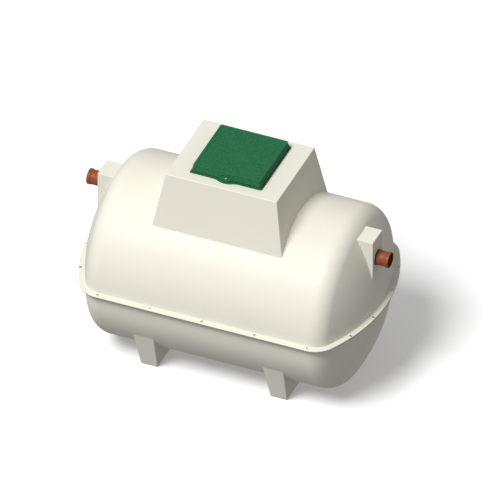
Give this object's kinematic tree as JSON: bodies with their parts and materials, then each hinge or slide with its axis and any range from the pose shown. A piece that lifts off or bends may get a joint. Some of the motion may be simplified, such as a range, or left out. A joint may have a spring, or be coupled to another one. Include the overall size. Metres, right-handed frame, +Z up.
{
  "type": "packaged sewage treatment plant",
  "caption": "Horizontal domed tank in two bolted half shells, with a tapered access turret, a hinged square cover, moulded feet and pipe sockets at both ends.",
  "frame": {"origin": "centre of the object's footprint, on the ground", "axes": "+X along the tank from inlet to outlet, +Y towards the cover's hinges, +Z up"},
  "size_m": [2.5, 1.552, 1.842],
  "materials": {
    "cream_laminate": "satin glass-fibre laminate with a smooth gel coat",
    "green_plastic": "moulded, slightly textured",
    "orange_plastic": "smooth extruded",
    "black_rubber": "matt",
    "zinc_steel": "zinc plated"
  },
  "bodies": {
    "tank": {"upper_front_wall": "cream_laminate", "upper_back_wall": "cream_laminate", "upper_inlet_crown": "cream_laminate", "upper_outlet_crown": "cream_laminate", "upper_inlet_end": "cream_laminate", "upper_outlet_end": "cream_laminate", "lower_front_wall": "cream_laminate", "lower_back_wall": "cream_laminate", "lower_bottom_wall": "cream_laminate", "lower_inlet_end": "cream_laminate", "lower_outlet_end": "cream_laminate", "upper_front_flange": "cream_laminate", "upper_back_flange": "cream_laminate", "upper_inlet_flange": "cream_laminate", "upper_outlet_flange": "cream_laminate", "lower_front_flange": "cream_laminate", "lower_back_flange": "cream_laminate", "lower_inlet_flange": "cream_laminate", "lower_outlet_flange": "cream_laminate", "flange_gasket": "black_rubber", "turret_front_wall": "cream_laminate", "turret_back_wall": "cream_laminate", "turret_inlet_wall": "cream_laminate", "turret_outlet_wall": "cream_laminate", "turret_top": "cream_laminate", "inlet_boss": "cream_laminate", "outlet_boss": "cream_laminate", "inlet_pipe": "orange_plastic", "outlet_pipe": "orange_plastic", "front_inlet_foot": "cream_laminate", "front_outlet_foot": "cream_laminate", "back_inlet_foot": "cream_laminate", "back_outlet_foot": "cream_laminate", "cover_frame": "green_plastic", "cover_seal": "black_rubber", "frame_hinge_lugs": "green_plastic", "hinge_pins": "zinc_steel"},
    "cover_lid": {"lid": "green_plastic", "lid_hinge_knuckles": "green_plastic", "lock_screw": "zinc_steel"}
  },
  "joints": [
    {"name": "lid_hinge", "type": "hinge", "parent": "tank", "child": "cover_lid", "pos_m": [0, 0.311, 1.793], "axis": [-1, 0, 0], "range_deg": [0, 100]}
  ]
}
